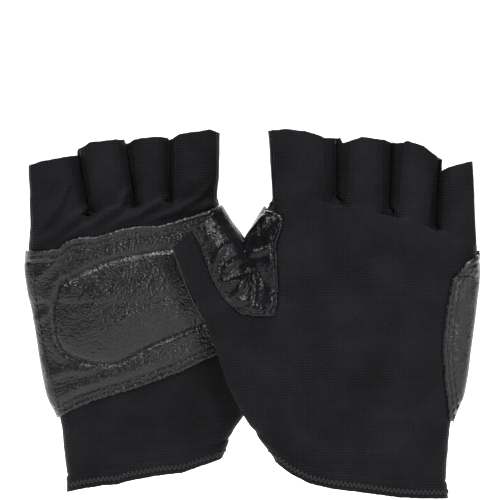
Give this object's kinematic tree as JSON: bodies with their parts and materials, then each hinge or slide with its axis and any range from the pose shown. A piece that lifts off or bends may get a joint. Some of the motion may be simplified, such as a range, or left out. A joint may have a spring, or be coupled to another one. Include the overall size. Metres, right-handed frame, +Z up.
{
  "type": "sailing gloves",
  "caption": "Fingerless sailing gloves in stretch fabric with padded grained leather palms, leather thumb crotches, open finger stalls and stitched hems.",
  "frame": {"origin": "middle of the hand opening at the cuff of the rear glove (a), on that glove's middle plane", "axes": "+X to the right across the hands, from the rear glove's little-finger edge towards its thumb; +Y to the rear, so glove a shows its palm and glove b its back to the front; +Z up the fingers"},
  "size_m": [0.2065, 0.0552, 0.1656],
  "materials": {
    "stretch_fabric": "matte",
    "leather": "satin",
    "pad_foam": "matte",
    "thread": "matte"
  },
  "bodies": {
    "a_hand": {"a_back_panel": "stretch_fabric", "a_palm_panel": "stretch_fabric", "a_palm_pad": "pad_foam", "a_cuff_hem": "stretch_fabric", "a_palm_leather": "leather", "a_web_leather": "leather", "a_palm_stitching": "thread", "a_web_stitching": "thread", "a_cuff_stitching": "thread"},
    "a_little": {"a_little_back": "stretch_fabric", "a_little_palm": "stretch_fabric", "a_little_gussets": "stretch_fabric"},
    "a_ring": {"a_ring_back": "stretch_fabric", "a_ring_palm": "stretch_fabric", "a_ring_gussets": "stretch_fabric"},
    "a_middle": {"a_middle_back": "stretch_fabric", "a_middle_palm": "stretch_fabric", "a_middle_gussets": "stretch_fabric"},
    "a_index": {"a_index_back": "stretch_fabric", "a_index_palm": "stretch_fabric", "a_index_gussets": "stretch_fabric"},
    "a_thumb": {"a_thumb_back": "stretch_fabric", "a_thumb_palm": "stretch_fabric", "a_thumb_leather": "leather"},
    "b_hand": {"b_back_panel": "stretch_fabric", "b_palm_panel": "stretch_fabric", "b_palm_pad": "pad_foam", "b_cuff_hem": "stretch_fabric", "b_palm_leather": "leather", "b_web_leather": "leather", "b_palm_stitching": "thread", "b_web_stitching": "thread", "b_cuff_stitching": "thread"},
    "b_little": {"b_little_back": "stretch_fabric", "b_little_palm": "stretch_fabric", "b_little_gussets": "stretch_fabric"},
    "b_ring": {"b_ring_back": "stretch_fabric", "b_ring_palm": "stretch_fabric", "b_ring_gussets": "stretch_fabric"},
    "b_middle": {"b_middle_back": "stretch_fabric", "b_middle_palm": "stretch_fabric", "b_middle_gussets": "stretch_fabric"},
    "b_index": {"b_index_back": "stretch_fabric", "b_index_palm": "stretch_fabric", "b_index_gussets": "stretch_fabric"},
    "b_thumb": {"b_thumb_back": "stretch_fabric", "b_thumb_palm": "stretch_fabric", "b_thumb_leather": "leather"}
  },
  "joints": [
    {"name": "b_pull_off", "type": "slide", "parent": "a_hand", "child": "b_hand", "axis": [0, 0, 1], "range_m": [0, 0.12]},
    {"name": "a_little_flex", "type": "hinge", "parent": "a_hand", "child": "a_little", "pos_m": [-0.03957, -0.011, 0.113], "axis": [0.9988, 0, 0.0499], "range_deg": [0, 70], "stiffness_Nm_per_rad": 0.02},
    {"name": "a_ring_flex", "type": "hinge", "parent": "a_hand", "child": "a_ring", "pos_m": [-0.018, -0.011, 0.121], "axis": [0.9988, 0, 0.0499], "range_deg": [0, 70], "stiffness_Nm_per_rad": 0.02},
    {"name": "a_middle_flex", "type": "hinge", "parent": "a_hand", "child": "a_middle", "pos_m": [0.00142, -0.011, 0.125], "axis": [0.9988, 0, 0.0499], "range_deg": [0, 70], "stiffness_Nm_per_rad": 0.02},
    {"name": "a_index_flex", "type": "hinge", "parent": "a_hand", "child": "a_index", "pos_m": [0.023, -0.011, 0.127], "axis": [0.9988, 0, 0.0499], "range_deg": [0, 70], "stiffness_Nm_per_rad": 0.02},
    {"name": "a_thumb_swing", "type": "hinge", "parent": "a_hand", "child": "a_thumb", "pos_m": [0.05907, 0, 0.097], "axis": [0, -1, 0], "range_deg": [-20, 12], "stiffness_Nm_per_rad": 0.02},
    {"name": "b_little_flex", "type": "hinge", "parent": "b_hand", "child": "b_little", "pos_m": [0.14065, -0.019, 0.108], "axis": [-1, 0, 0], "range_deg": [0, 70], "stiffness_Nm_per_rad": 0.02},
    {"name": "b_ring_flex", "type": "hinge", "parent": "b_hand", "child": "b_ring", "pos_m": [0.1213, -0.019, 0.116], "axis": [-1, 0, 0], "range_deg": [0, 70], "stiffness_Nm_per_rad": 0.02},
    {"name": "b_middle_flex", "type": "hinge", "parent": "b_hand", "child": "b_middle", "pos_m": [0.0973, -0.019, 0.122], "axis": [-1, 0, 0], "range_deg": [0, 70], "stiffness_Nm_per_rad": 0.02},
    {"name": "b_index_flex", "type": "hinge", "parent": "b_hand", "child": "b_index", "pos_m": [0.0709, -0.019, 0.1247], "axis": [-1, 0, 0], "range_deg": [0, 70], "stiffness_Nm_per_rad": 0.02},
    {"name": "b_thumb_swing", "type": "hinge", "parent": "b_hand", "child": "b_thumb", "pos_m": [0.0328, -0.03, 0.097], "axis": [0, 1, 0], "range_deg": [-20, 12], "stiffness_Nm_per_rad": 0.02}
  ]
}
